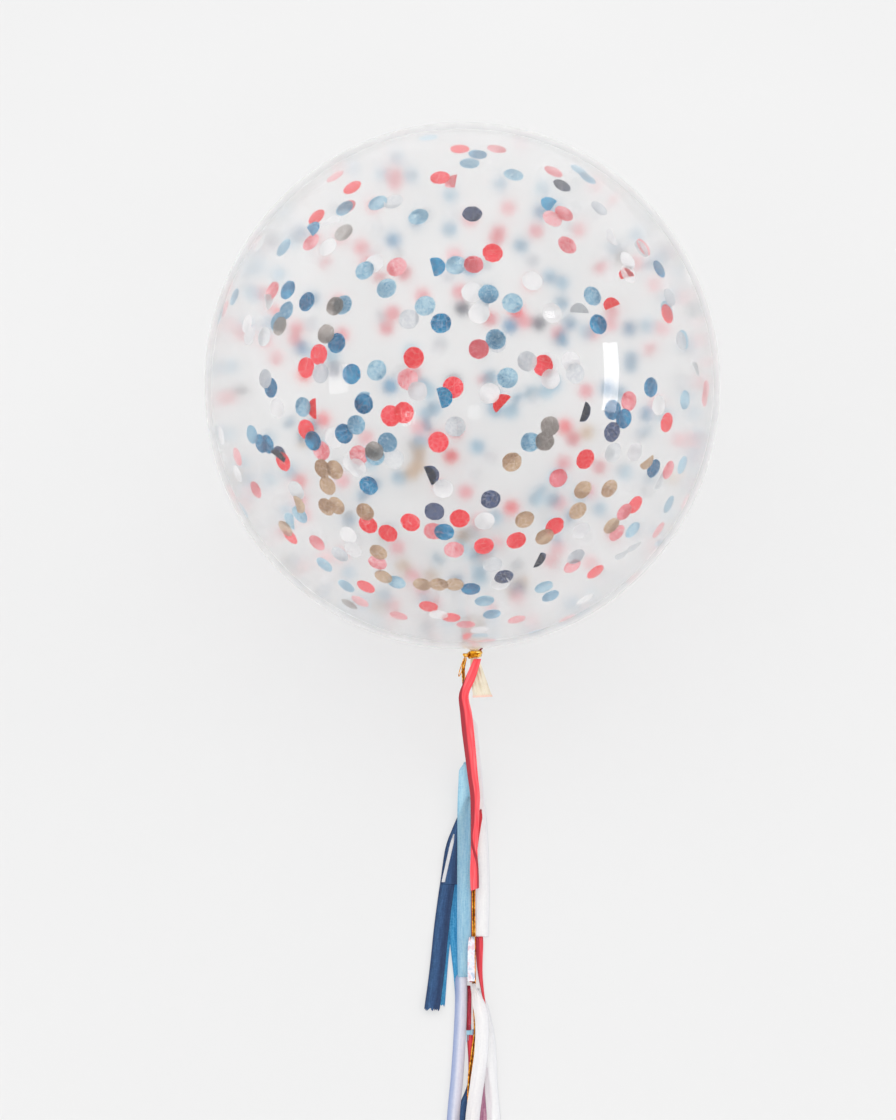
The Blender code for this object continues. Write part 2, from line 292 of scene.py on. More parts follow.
def bodyProfile(inset):
    # (radius, height) from the crown through the funnel to the pinch, inset by a wall
    funnelTurn = math.pi - math.asin(skin["funnelWidth"] / skin["width"])
    points = []
    for i in range(skin["bodyRings"] + 1):
        turn = max(funnelTurn * i / skin["bodyRings"], 0.002)
        points.append(((halfWidth - inset) * math.sin(turn), (halfLength - inset) * math.cos(turn)))
    radius, height = points[-1]
    slope = Vector((halfWidth * math.cos(funnelTurn), -halfLength * math.sin(funnelTurn)))
    pull = slope.normalized() * skin["funnelWidth"] * skin["funnelPull"]
    pinch = skin["pinchWidth"] / 2 - inset
    corners = (
        (radius, height),
        (radius + pull.x, height + pull.y),
        (pinch, -pinchStart + skin["neckRise"] + inset),
        (pinch, -pinchStart + inset),
    )
    for i in range(1, skin["funnelRings"] + 1):
        t = i / skin["funnelRings"]
        weights = ((1 - t) ** 3, 3 * t * (1 - t) ** 2, 3 * t * t * (1 - t), t**3)
        points.append(tuple(sum(w * c[k] for w, c in zip(weights, corners)) for k in (0, 1)))
    return points


def pleatFactor(radius, turn):
    # The skin gathers in pleats towards the pinch
    share = 1 - smooth((radius - skin["pinchWidth"] / 2) / (skin["funnelWidth"] * 0.5))
    wave = math.cos(skin["pleats"] * turn + 1.3 * math.sin(2 * turn))
    return 1 + skin["pleatDepth"] * share * (wave - 1) / 2


def skinRing(radius, height, gap):
    return [
        restOnFloor(roundAxis(radius * pleatFactor(radius, turn), turn, height), gap)
        for turn in turns(skin["around"])
    ]


def neckRing(share, inset, bead=0.0):
    # A ring of the neck's free end, pressed flat, with soft creases and a sway to +X
    pinch = skin["pinchWidth"] / 2
    lip = skin["neckEndWidth"] / 2 - skin["lipBead"]
    radius = pinch + (lip - pinch) * share**0.75
    flat = 1 + (skin["neckEndThickness"] / skin["neckEndWidth"] - 1) * smooth(share * 1.6)
    height = -pinchEnd - skin["neckEndLength"] * share
    ring = []
    for turn in turns(skin["around"]):
        reach = radius * pleatFactor(radius, turn)
        x = max(reach - inset + bead, 0.0006) * math.cos(turn)
        y = max(reach * flat - inset + bead, 0.0003) * math.sin(turn)
        crease = math.sin(x * skin["neckCreaseWaves"] + 3 * share + 0.8)
        crease *= skin["neckCrease"] * smooth(share * 2)
        fine = math.sin(x * skin["neckFineCreaseWaves"] - 5 * share)
        crease += skin["neckFineCrease"] * fine
        x += skin["neckEndSway"] * share**1.2
        ring.append(placed @ Vector((x, y + crease, height)))
    return ring


def sleeveRing(share, inset):
    # A ring of the thick inner collar that stands round the neck's mouth, a little uneven
    foot = -halfLength + skin["sleeveLift"]
    narrowing, ripple = skin["sleeveNarrowing"], skin["sleeveRipple"]
    ring = []
    for turn in turns(skin["around"]):
        reach = skin["sleeveWidth"] / 2 * (1 - narrowing + narrowing * smooth(share * 1.4)) - inset
        reach += ripple * math.cos(5 * turn + 2) + skin["sleeveSwell"] * math.sin(share * 21)
        rise = skin["sleeveHeight"] + skin["sleeveRim"] * math.cos(3 * turn)
        height = foot + rise * share
        ring.append(roundAxis(reach, turn, height))
    return ring


def buildSkin():
    rings = [skinRing(r, h, 0.0) for r, h in bodyProfile(0.0)]
    count = skin["neckEndRings"]
    rings += [neckRing(i / count, 0.0) for i in range(count - 1)]
    bead = skin["lipBead"]
    for i in range(skin["lipSteps"] + 1):
        # The rolled lip goes round from the outer face to the inner one
        lift = math.pi * i / skin["lipSteps"]
        share = 1 - bead / skin["neckEndLength"] * (1 - math.sin(lift))
        inset = skin["neckWall"] * (1 - math.cos(lift)) / 2
        rings.append(neckRing(share, inset, bead * skin["lipThickening"] * math.cos(lift)))
    rings += [neckRing(i / count, skin["neckWall"]) for i in range(count - 2, 1, -1)]
    outside = loft(rings)
    wall = skin["wall"]
    inside = loft([skinRing(r, h, wall) for r, h in bodyProfile(wall)])
    shares = [i / skin["sleeveRings"] for i in range(skin["sleeveRings"] + 1)]
    up = [sleeveRing(share, 0.0) for share in shares]
    down = [sleeveRing(share, skin["sleeveWall"]) for share in reversed(shares)]
    sleeve = loft(up + down + [up[0]], capped=False)
    mesh = joinMeshes("balloon", [(outside, False, 0), (inside, True, 0), (sleeve, False, 2)])
    for face in mesh.polygons:
        if (unplaced @ face.center).z < -pinchStart + skin["ivoryRise"]:
            face.material_index = 1
    lipStart = pinchEnd + skin["neckEndLength"] - skin["lipTintHeight"] * bead
    lip = [smooth((-(unplaced @ v.co).z - lipStart) / bead) for v in mesh.vertices]
    storeValues(mesh, "lip", lip)
    return mesh


def clearLatex():
    # Natural latex rubber, dipped on a smooth former: a clear film with a wet gloss,
    # a little milky, which blurs what lies far behind it
    material, tree, place = startMaterial("clear_latex_rubber")
    clouds = addNode(tree, "ShaderNodeTexNoise", {"Vector": place, "Scale": 5.0, "Detail": 2.0})
    tint = addNode(tree, "ShaderNodeValToRGB", {"Fac": clouds}, [
        (0.35, "#F7F7F7"), (0.65, "#FBFBFB"),
    ])
    return endMaterial(material, {
        "Base Color": tint,
        "Roughness": 0.2,
        "IOR": 1.15,            # so thin a film hardly bends the light
        "Transmission Weight": 0.99,
        "Coat Weight": 0.35,
        "Coat Roughness": 0.03,
        "Sheen Weight": 0.6,    # the bloom of dry latex, which whitens it towards its rim
        "Sheen Roughness": 0.5,
    })


def creamLatex():
    # The same rubber unstretched, so thick that it is ivory and hardly lets light through
    material, tree, place = startMaterial("ivory_latex_rubber")
    grain = addNode(tree, "ShaderNodeTexNoise", {"Vector": place, "Scale": 60.0, "Detail": 4.0})
    ivory = addNode(tree, "ShaderNodeValToRGB", {"Fac": grain}, [
        (0.3, "#DDCFB4"), (0.7, "#EBE0CA"),
    ])
    lip = addNode(tree, "ShaderNodeAttribute", attribute_name="lip")
    tint = addNode(tree, "ShaderNodeMix", {
        "Factor": lip.outputs["Fac"], 6: ivory, 7: linearColour("#EFC4B4"),
    }, data_type="RGBA")
    bump = addNode(tree, "ShaderNodeBump", {"Height": grain, "Strength": 0.25, "Distance": 0.0006})
    return endMaterial(material, {
        "Base Color": tint.outputs[2],
        "Normal": bump,
        "Roughness": 0.38,
        "Subsurface Weight": 0.15,
        "Subsurface Radius": (0.004, 0.003, 0.002),
        "Subsurface Scale": 1.0,
    })


def milkyLatex():
    # The rubber at its thickest round the neck's mouth: see-through, but milky and pale
    material, tree, place = startMaterial("milky_latex_rubber")
    clouds = addNode(tree, "ShaderNodeTexNoise", {"Vector": place, "Scale": 90.0, "Detail": 3.0})
    tint = addNode(tree, "ShaderNodeValToRGB", {"Fac": clouds}, [
        (0.35, "#E9E4E0"), (0.65, "#F6F4F1"),
    ])
    return endMaterial(material, {
        "Base Color": tint,
        "Roughness": 0.3,
        "IOR": 1.3,
        "Transmission Weight": 0.85,
    })


skinMesh = buildSkin()
for material in (clearLatex(), creamLatex(), milkyLatex()):
    skinMesh.materials.append(material)
makePiece("balloon_skin", skinMesh, ["balloon"])
print("skin:", len(skinMesh.polygons), "faces")

# Camera: it looks down at the lying balloon, from a little below its middle as seen
view = dict(
    elevation=math.radians(55),
    distance=2.794,
    below=0.3053,
    left=0.0251,
    lens=50.0,
    sensorHeight=36.0,
)

centre = placed.translation
ahead = Vector((0, math.cos(view["elevation"]), -math.sin(view["elevation"])))
upwards = Vector((0, math.sin(view["elevation"]), math.cos(view["elevation"])))
cameraData = bpy.data.cameras.new("camera")
cameraData.lens = view["lens"]
cameraData.sensor_fit = "VERTICAL"
cameraData.sensor_height = view["sensorHeight"]
camera = makeObject("camera", cameraData)
camera.location = centre - ahead * view["distance"] - upwards * view["below"]
camera.location.x = centre.x - view["left"]
camera.rotation_euler = (math.pi / 2 - view["elevation"], 0, 0)
bpy.context.scene.camera = camera


# Confetti: paper discs that cling to the inner wall, scattered by one node tree
confetti = dict(
    size=0.032,
    thickness=0.00025,
    sides=20,
    wallGap=0.0012,         # from the inner wall to a disc's middle
    spread=0.0065,          # how far discs lie over each other
    roughEdge=0.03,
    kinds=5,
    folds=(-0.15, 0.05, 0.3, 0.0),      # where each kind is folded, in shares of its radius
    foldTurn=math.radians(163),
    foldedShare=0.16,
    lean=0.025,             # how far a disc tips off the wall, as a slope
    smallest=0.95,          # the least and the most that a disc's size is multiplied by
    largest=1.03,
    seeThrough=0.4,
    fullTurn=6.283,
    neckFree=0.985,         # no discs are scattered past this share of the way to the neck
)


def discMesh(name, seed, fold=None):
    # A thin paper disc with a slightly rough cut, folded over itself where fold is set
    pick = random.Random(seed)
    radius = confetti["size"] / 2
    bm = bmesh.new()
    ring = []
    for turn in turns(confetti["sides"]):
        reach = radius * (1 + pick.uniform(-1, 1) * confetti["roughEdge"])
        ring.append(bm.verts.new((reach * math.cos(turn), reach * math.sin(turn), 0)))
    bm.faces.new(ring)
    if fold is not None:
        line = fold * radius
        bmesh.ops.bisect_plane(
            bm, geom=bm.verts[:] + bm.edges[:] + bm.faces[:],
            plane_co=(line, 0, 0), plane_no=(1, 0, 0),
        )
        turn = confetti["foldTurn"] + pick.uniform(-0.12, 0.1)
        for vertex in bm.verts:
            past = vertex.co.x - line
            if past > 0.00001:
                vertex.co.x = line + past * math.cos(turn)
                vertex.co.z = -past * math.sin(turn)
    bmesh.ops.solidify(bm, geom=bm.faces[:], thickness=confetti["thickness"])
    bmesh.ops.recalc_face_normals(bm, faces=bm.faces)
    return endMesh(bm, name)


def discCollection(name, meshes):
    made = bpy.data.collections.new(name)
    for k, mesh in enumerate(meshes):
        made.objects.link(bpy.data.objects.new(f"{name}_{k}", mesh))
    return made


flatDiscs = discCollection("flat_discs", [
    discMesh("flat_disc", seed) for seed in range(confetti["kinds"])
])
foldedDiscs = discCollection("folded_discs", [
    discMesh("folded_disc", 20 + seed, fold) for seed, fold in enumerate(confetti["folds"])
])


def confettiTree():
    # Scatters discs over a wall in the balloon's own frame, where the wall's middle is
    # the origin, and adds those that are listed
    tree, given = startTree("confetti", {
        "Placed": "Object",
        "Flat discs": "Collection",
        "Folded discs": "Collection",
        "Discs per square metre": "Float",
        "Folded share": "Float",
        "Overlap depth": "Float",
        "Half width": "Float",
        "Half length": "Float",
        "Seed": "Int",
        "Material": "Material",
    })
    # What is drawn for each disc: the kind of value, its output's place, and its limits
    lean = confetti["lean"]
    draws = dict(
        folded=("BOOLEAN", 3, {"Probability": given["Folded share"]}),
        depth=("FLOAT", 1, {"Min": 0.0, "Max": given["Overlap depth"]}),
        wobble=("FLOAT_VECTOR", 0, {"Min": (-lean, -lean, -lean), "Max": (lean, lean, lean)}),
        spin=("FLOAT", 1, {"Min": 0.0, "Max": confetti["fullTurn"]}),
        kind=("INT", 2, {"Min": 0, "Max": 99}),
        size=("FLOAT", 1, {"Min": confetti["smallest"], "Max": confetti["largest"]}),
        tone=("FLOAT", 1, {"Min": 0.0, "Max": 1.0}),
    )
    drawn = {}
    for name, (kind, output, limits) in draws.items():
        limits["Seed"] = given["Seed"]
        made = addNode(tree, "FunctionNodeRandomValue", limits, data_type=kind)
        drawn[name] = made.outputs[output]

    crowd = addNode(tree, "GeometryNodeInputNamedAttribute", {"Name": "crowd"})
    density = addNode(tree, "ShaderNodeMath", {
        0: given["Discs per square metre"], 1: crowd,
    }, operation="MULTIPLY")
    scattered = addNode(tree, "GeometryNodeDistributePointsOnFaces", {
        "Mesh": given["Geometry"], "Density": density, "Seed": given["Seed"],
    })
    marked = addNode(tree, "GeometryNodeStoreNamedAttribute", {
        "Geometry": scattered, "Name": "folded", "Value": drawn["folded"],
    }, data_type="BOOLEAN", domain="POINT")
    byHand = addNode(tree, "GeometryNodeObjectInfo", {"Object": given["Placed"]})
    handPoints = addNode(tree, "GeometryNodeMeshToPoints", {"Mesh": byHand.outputs["Geometry"]})
    joined = addNode(tree, "GeometryNodeJoinGeometry")
    for points in (marked, handPoints):
        tree.links.new(points.outputs[0], joined.inputs[0])

    # A disc's own direction is square to the wall: place divided by the half sizes squared
    halfSizes = addNode(tree, "ShaderNodeCombineXYZ", {
        "X": given["Half width"], "Y": given["Half width"], "Z": given["Half length"],
    })
    outwards = addNode(tree, "GeometryNodeInputPosition")
    for _ in range(2):
        outwards = addNode(tree, "ShaderNodeVectorMath", {
            0: outwards, 1: halfSizes,
        }, operation="DIVIDE")
    outwards = addNode(tree, "ShaderNodeVectorMath", {0: outwards}, operation="NORMALIZE")
    back = addNode(tree, "ShaderNodeMath", {0: drawn["depth"], 1: -1.0}, operation="MULTIPLY")
    inwards = addNode(tree, "ShaderNodeVectorMath", {
        0: outwards, "Scale": back,
    }, operation="SCALE")
    settled = addNode(tree, "GeometryNodeSetPosition", {"Geometry": joined, "Offset": inwards})
    leaning = addNode(tree, "ShaderNodeVectorMath", {
        0: outwards, 1: drawn["wobble"],
    }, operation="ADD")
    upright = addNode(tree, "FunctionNodeAlignRotationToVector", {"Vector": leaning}, axis="Z")
    spun = addNode(tree, "FunctionNodeAxisAngleToRotation", {
        "Axis": (0, 0, 1), "Angle": drawn["spin"],
    })
    turned = addNode(tree, "FunctionNodeRotateRotation", {
        "Rotation": upright, "Rotate By": spun,
    }, rotation_space="LOCAL")
    folded = addNode(tree, "GeometryNodeInputNamedAttribute", {
        "Name": "folded",
    }, data_type="BOOLEAN")
    whole = addNode(tree, "FunctionNodeBooleanMath", {0: folded}, operation="NOT")
    together = addNode(tree, "GeometryNodeJoinGeometry")
    for discs, chosen in (("Flat discs", whole), ("Folded discs", folded)):
        source = addNode(tree, "GeometryNodeCollectionInfo", {
            "Collection": given[discs], "Separate Children": True,
        })
        copies = addNode(tree, "GeometryNodeInstanceOnPoints", {
            "Points": settled, "Selection": chosen, "Instance": source,
            "Pick Instance": True, "Instance Index": drawn["kind"],
            "Rotation": turned, "Scale": drawn["size"],
        })
        tree.links.new(copies.outputs[0], together.inputs[0])
    toned = addNode(tree, "GeometryNodeStoreNamedAttribute", {
        "Geometry": together, "Name": "tone", "Value": drawn["tone"],
    }, data_type="FLOAT", domain="INSTANCE")
    real = addNode(tree, "GeometryNodeRealizeInstances", {"Geometry": toned})
    painted = addNode(tree, "GeometryNodeSetMaterial", {
        "Geometry": real, "Material": given["Material"],
    })
    addNode(tree, "NodeGroupOutput", {"Geometry": painted})
    return tree


def tissuePaper(name, colours):
    # Dyed tissue, matt and a little see-through, so it darkens where two discs overlap.
    # Fibres and creases of 5 to 8 mm stand for finer ones that wouldn't show
    material, tree, place = startMaterial(name)
    fibres = addNode(tree, "ShaderNodeTexNoise", {
        "Vector": place, "Scale": 210.0, "Detail": 4.0, "Roughness": 0.75, "Distortion": 1.2,
    })
    creases = addNode(tree, "ShaderNodeTexVoronoi", {
        "Vector": place, "Scale": 120.0,
    }, feature="DISTANCE_TO_EDGE")
    tone = addNode(tree, "ShaderNodeAttribute", attribute_name="tone").outputs["Fac"]
    grain = addNode(tree, "ShaderNodeMath", {0: fibres, 1: -0.5}, operation="ADD")
    shade = addNode(tree, "ShaderNodeMath", {0: grain, 1: 4.0, 2: tone}, operation="MULTIPLY_ADD")
    dyed = addNode(tree, "ShaderNodeValToRGB", {"Fac": shade}, evenPlaces(colours))
    lines = addNode(tree, "ShaderNodeMapRange", {
        "Value": creases, "From Min": 0.0, "From Max": 0.06, "To Min": 0.24, "To Max": 0.0,
    })
    tint = addNode(tree, "ShaderNodeMix", {
        "Factor": lines, 6: dyed, 7: (1, 1, 1, 1),
    }, data_type="RGBA")
    height = addNode(tree, "ShaderNodeMath", {0: fibres, 1: creases}, operation="ADD")
    bump = addNode(tree, "ShaderNodeBump", {"Height": height, "Strength": 0.4, "Distance": 0.0004})
    return endMaterial(material, {
        "Base Color": tint.outputs[2],
        "Normal": bump,
        "Roughness": 0.7,
        "Specular IOR Level": 0.15,
    }, confetti["seeThrough"])


discInset = skin["wall"] + confetti["wallGap"]
discSurface = Vector((halfWidth - discInset, halfWidth - discInset, halfLength - discInset))


def seenPoint(across, up):
    # Where the camera's line of sight through a point beside the balloon's middle, in
    # millimetres, meets the inner wall, in the balloon's own frame
    eye = unplaced @ camera.location
    aim = unplaced @ (centre + Vector((across / 1000, 0, 0)) + upwards * (up / 1000))
    start = Vector(e / h for e, h in zip(eye, discSurface))
    step = Vector((a - e) / h for a, e, h in zip(aim, eye, discSurface))
    b, c = start.dot(step), start.dot(start) - 1
    t = (-b - math.sqrt(max(b * b - step.dot(step) * c, 0))) / step.dot(step)
    return eye + (aim - eye) * t


# Each colour of confetti: its shades, how many discs lie on a square metre, the share of
# them on the side that faces the camera, and the discs that show best there, whole or
# folded in half, by their places beside the balloon's middle as the camera sees them
confettiColours = dict(
    red=dict(
        shades=("#FA0F27", "#FF1F33", "#FF4451"), crowd=13, faceShare=0.2, seed=3,
        spots=[
            (56, 250), (-88, 59), (148, 45), (-16, 5), (-43, -95), (-130, -47), (-106, -41),
            (-4, -234), (-94, -241), (-135, -261), (-171, -245), (225, -126), (99, -274),
            (40, -284), (169, -248), (-284, 41), (-261, 65), (-284, -72), (-40, 387),
            (374, 139), (373, -59), (315, -209), (243, -331), (-61, -394), (-175, -358),
            (-20, -414), (-265, 315), (-200, 369), (-4, 439), (-313, -266), (-326, -130),
        ],
        halves=[(-266, -34), (302, 205), (275, 151), (76, -27), (18, -450)],
    ),
    pink=dict(
        shades=("#EC7682", "#F79BA3", "#FCC6CA"), crowd=72, faceShare=0.3, seed=11,
        spots=[
            (185, 320), (191, 263), (166, 396), (329, 259), (-344, 180), (99, -416),
            (-115, -409), (-407, -121), (440, -13), (-274, 268), (-230, 387), (63, 437),
            (7, -425), (356, -254), (200, -319), (-153, -313), (-263, -277), (-187, -118),
            (-255, -110),
        ],
    ),
    teal=dict(
        shades=("#006294", "#008ABC", "#28A4D0"), crowd=14, faceShare=0.25, seed=5,
        spots=[
            (-200, 29), (-178, -25), (-169, -173), (-346, 4), (-281, 160), (-227, 85),
            (247, 119), (-32, -257), (16, -360), (-214, -79), (293, -52), (342, 5), (-38, 121),
            (347, -142), (-270, -92), (-364, -97), (-352, -98), (273, -36),
        ],
        halves=[(-49, 223), (-36, -14), (-272, 290)],
    ),
    sky=dict(
        shades=("#76AECC", "#9AC6DC", "#C0DEEA"), crowd=80, faceShare=0.35, seed=7,
        spots=[
            (-11, 227), (-67, 153), (-137, 185), (92, 158), (-79, 315), (-153, 340),
            (83, 22), (-155, 36), (403, 92), (405, -18), (149, -358), (41, -383), (-324, 259),
            (94, 391), (14, 412), (-250, -317), (-119, -349), (-210, -356), (400, -136),
            (310, -254),
        ],
    ),
    navy=dict(
        shades=("#1E2A4E", "#303E6A", "#486090"), crowd=7, faceShare=0.2, seed=9,
        spots=[(52, -198), (-50, -220), (76, -338), (272, -76)],
        halves=[(-65, -157), (216, -38), (133, -308), (-335, -124)],
    ),
    white=dict(
        shades=("#EEEEF0", "#F5F5F6", "#FBFBFB"), crowd=40, faceShare=0.8, seed=13,
        spots=[
            (18, 178), (31, 139), (128, 198), (-200, -130), (164, 140), (-198, -290),
            (-207, -263), (41, -238),
        ],
    ),
    grey=dict(
        shades=("#ACA39D", "#BDB6B1", "#CCC8C5"), crowd=5, faceShare=0.3, seed=15,
        spots=[
            (-229, 151), (-245, 101), (-328, 115), (158, -65), (149, -92), (-158, -110),
            (-203, -385),
        ],
    ),
    silver=dict(
        shades=("#D2D6DC", "#E0E3E6", "#ECEEEF"), crowd=44, faceShare=0.5, seed=19,
        spots=[(-12, -66), (118, 52), (-96, 128), (205, 30), (62, 86)],
        halves=[(313, -279), (290, -294)],
    ),
    gold=dict(
        shades=("#BE9C7C", "#D4B492", "#E4CFB4"), crowd=16, faceShare=0.35, seed=17, lower=True,
        spots=[
            (90, -130), (218, -180), (266, -178), (209, -218), (149, -265), (113, -234),
            (-230, -144), (-243, -173), (-245, -211), (-227, -209), (-175, -220), (-151, -293),
            (-252, -142), (270, -245), (-142, -337), (-72, -351), (-42, -351), (-14, -351),
        ],
        halves=[(-297, -207)],
    ),
)

facing = (unplaced.to_3x3() @ -ahead).normalized()


def confettiWall(colour):
    # The surface that discs are scattered on, in the balloon's own frame. Its crowd
    # value thins them out at the crown, on the side where many are listed, for
    # some colours in the whole upper half, and leaves the neck's mouth free
    bm = bmesh.new()
    bmesh.ops.create_icosphere(bm, subdivisions=5, radius=1.0)
    crowd = bm.verts.layers.float.new("crowd")
    for vertex in bm.verts:
        height = vertex.co.z
        inView = smooth(0.4 + vertex.co.dot(facing) * 2.5)
        vertex[crowd] = smooth((1.05 - height) * 5) * (1 - (1 - colour["faceShare"]) * inView)
        if colour.get("lower"):
            vertex[crowd] *= smooth((0.1 - height) * 2.5)
        vertex.co.x *= halfWidth - discInset
        vertex.co.y *= halfWidth - discInset
        vertex.co.z *= halfLength - discInset
        if vertex.co.z < -halfLength * confetti["neckFree"]:
            vertex[crowd] = 0.0
    return endMesh(bm, "confetti_wall")


def placedPoints(colour):
    # Loose points for the listed discs, with those that are folded marked
    places = colour["spots"] + colour.get("halves", [])
    mesh = pointMesh("placed", [seenPoint(*p) for p in places])
    whole = len(colour["spots"])
    storeValues(mesh, "folded", [k >= whole for k in range(len(places))], "BOOLEAN")
    return bpy.data.objects.new("placed", mesh)


scatter = confettiTree()
for tint, colour in confettiColours.items():
    wall = makeObject("confetti_wall", confettiWall(colour))
    byHand = placedPoints(colour)
    discs = runTree(scatter, wall, {
        "Placed": byHand,
        "Flat discs": flatDiscs,
        "Folded discs": foldedDiscs,
        "Discs per square metre": float(colour["crowd"]),
        "Folded share": confetti["foldedShare"],
        "Overlap depth": confetti["spread"],
        "Half width": halfWidth,
        "Half length": halfLength,
        "Seed": colour["seed"],
        "Material": tissuePaper("tissue_" + tint, colour["shades"]),
    })
    bpy.data.objects.remove(wall)
    bpy.data.objects.remove(byHand)
    discs.transform(placed)
    discs.name = "confetti_" + tint
    makePiece(discs.name, discs, shade=False)
    print(tint, "confetti:", len(discs.polygons), "faces")


# The tail's gold cord: tied round the neck, knotted, and laid out under the strips
cord = dict(
    tieTurns=3,
    tieSteps=22,            # points on each turn
    tieStrand=0.0045,
    wrapShare=0.66,         # radii of the tie's strands, in shares of a strand
    crossingShare=0.5,
    crossingTurn=math.radians(207),
    crossingSteps=18,
    tipShare=0.33,
    tipEnd=(0.008, -0.004, 0.0045),
    wrapCrumple=0.00112,
    crossingCrumple=0.00105,
    tieGrain=260.0,
    knotWidth=0.010,
    knotStrand=0.0019,
    knotAngle=math.radians(205),
    loopLength=0.038,
    loopLean=0.0125,
    loopOpening=0.0022,
    loopRise=0.008,
    loopStrand=0.0008,
    loopCrumple=0.0001,
    knotSteps=48,
    loopSteps=24,
    touchGap=0.00035,
    diameter=0.0065,
    strandShare=4.1,        # its diameter in radii of a strand
    strandCrumple=0.7,
    length=1.04,
    hangTension=0.25,
    endKnotWidth=0.012,
    endKnotStrand=0.0021,
    endKnotLean=0.3,
    layersBelow=5,
    layerThickness=0.0005,
    rocking=0.35,           # how far its two strands turn to and fro, side by side
    rockingPitch=0.11,
    step=0.0025,
    sides=10,
    crumple=0.00035,
    # The middle of its route: (distance along the tail, place across it)
    route=[
        (0.026, 0.002), (0.048, 0.003), (0.09, 0.006), (0.178, 0.0112), (0.24, 0.0165),
        (0.306, 0.0216), (0.37, 0.0205), (0.442, 0.0193), (0.52, 0.0189), (0.57, 0.0186),
        (0.622, 0.0186), (0.684, 0.020), (0.72, 0.0155), (0.76, 0.010), (0.85, 0.008),
        (0.95, 0.009), (1.06, 0.011),
    ],
)

layerPitch = cord["layerThickness"] + cord["touchGap"]
cordHeight = cord["layersBelow"] * layerPitch + cord["diameter"] / 2
tieInner = skin["pinchWidth"] / 2 + cord["touchGap"]
knotReach = tieInner + cord["tieStrand"] + cord["knotWidth"] / 2 + cord["touchGap"]
knotCentre = roundAxis(knotReach, cord["knotAngle"], -(pinchStart + pinchEnd) / 2)
drop = knotCentre.z - cordHeight
hanging = math.sqrt(drop * drop + 2 * cord["hangTension"] * drop)


def tailPoint(distance, across, lift):
    # The point at a distance along the tail, which hangs in a curve down to the floor
    # and then lies straight along it. It is lifted square to the tail
    tension = cord["hangTension"]
    left = max(hanging - distance, 0.0)
    run = tension * (math.asinh(hanging / tension) - math.asinh(left / tension))
    run += max(distance - hanging, 0.0)
    height = cordHeight + math.hypot(tension, left) - tension
    steep = math.atan2(left, tension)
    return Vector((
        across,
        knotCentre.y - run - lift * math.sin(steep),
        height + lift * math.cos(steep),
    ))


def through(points, where):
    # A smooth curve through (place, value) points that are in order
    last = len(points) - 1
    i = next((k for k in range(last) if where <= points[k + 1][0]), last - 1)
    (x0, y0), (x1, y1) = points[i], points[i + 1]
    before = points[max(i - 1, 0)]
    after = points[min(i + 2, last)]
    span = x1 - x0
    rise0 = (y1 - before[1]) / (x1 - before[0]) * span
    rise1 = (after[1] - y0) / (after[0] - x0) * span
    t = min(max((where - x0) / span, 0.0), 1.0)
    return (
        y0 * (2 * t**3 - 3 * t**2 + 1)
        + rise0 * (t**3 - 2 * t**2 + t)
        + y1 * (3 * t**2 - 2 * t**3)
        + rise1 * (t**3 - t**2)
    )


def evenly(values, share):
    return through(evenPlaces(values), share)


def crumpled(point, away, depth, grain):
    # Moves a point of foil along its own direction by a creased pattern
    crease = abs(noise.noise(point * grain)) * 2 - 0.4
    crease += 0.5 * noise.noise(point * grain * 2.3)
    return point + away * (depth * crease)


def foilTube(path, radius, sides, depth=0.0, grain=400.0, beside=None):
    # A tube of crumpled foil along a path, drawn in at its two ends. Where it touches
    # another path beside it, its value for the painted shade in the groove is high
    rings = []
    grooveShades = []
    side = None
    last = len(path) - 1
    for i, point in enumerate(path):
        ahead = (path[min(i + 1, last)] - path[max(i - 1, 0)]).normalized()
        if side is None:
            side = ahead.orthogonal().normalized()
        side = (side - ahead * side.dot(ahead)).normalized()
        other = ahead.cross(side)
        reach = radius * (0.5 if i in (0, last) else 1.0)
        ring = []
        for turn in turns(sides):
            away = side * math.cos(turn) + other * math.sin(turn)
            ring.append(crumpled(point + away * reach, away, depth, grain))
            near = away.dot((beside[i] - point).normalized()) if beside else -1.0
            grooveShades.append(smooth((near - 0.25) / 0.45))
        rings.append(ring)
    mesh = loft(rings)
    grooveShades += [0.0] * (len(mesh.vertices) - len(grooveShades))
    storeValues(mesh, "groove", grooveShades)
    return mesh


def foil(name, deep, bright, glint, facetScale):
    # Metallised film, wound and crumpled into small mirrors: their colour is painted from a
    # deep shade to a pale glint, painted shade and glint of the crumple, and painted shade
    # darkens it where two strands meet
    material, tree, place = startMaterial(name)
    facets = addNode(tree, "ShaderNodeTexVoronoi", {"Vector": place, "Scale": facetScale})
    patch = addNode(tree, "ShaderNodeTexNoise", {"Vector": place, "Scale": 110.0, "Detail": 2.0})
    facet = addNode(tree, "ShaderNodeSeparateColor", {0: facets.outputs["Color"]})
    shade = addNode(tree, "ShaderNodeMath", {
        0: facet, 1: 0.35, 2: patch,
    }, operation="MULTIPLY_ADD")
    # Painted shade and glint: each facet's colour runs from deep to bright to a pale glint
    face = addNode(tree, "ShaderNodeValToRGB", {"Fac": shade}, [
        (0.4, deep), (0.75, bright), (0.95, glint),
    ])
    # Painted shade in the groove where two strands meet
    groove = addNode(tree, "ShaderNodeAttribute", attribute_name="groove")
    tint = addNode(tree, "ShaderNodeMix", {
        "Factor": groove.outputs["Fac"], 6: face, 7: linearColour("#2E1508"),
    }, data_type="RGBA")
    bump = addNode(tree, "ShaderNodeBump", {"Height": facets, "Strength": 0.5, "Distance": 0.0008})
    return endMaterial(material, {
        "Base Color": tint.outputs[2],
        "Normal": bump,
        "Metallic": 1.0,
        "Roughness": 0.3,
    })


foils = dict(
    cord=foil("gold_foil_film", "#7E3A10", "#D98A28", "#F7C765", 260.0),
    tie=foil("crumpled_gold_foil_film", "#8E3E08", "#F2AE2C", "#FFE08A", 330.0),
    tip=foil("dark_red_foil_film", "#4A0812", "#8E1C28", "#C0505A", 330.0),
)


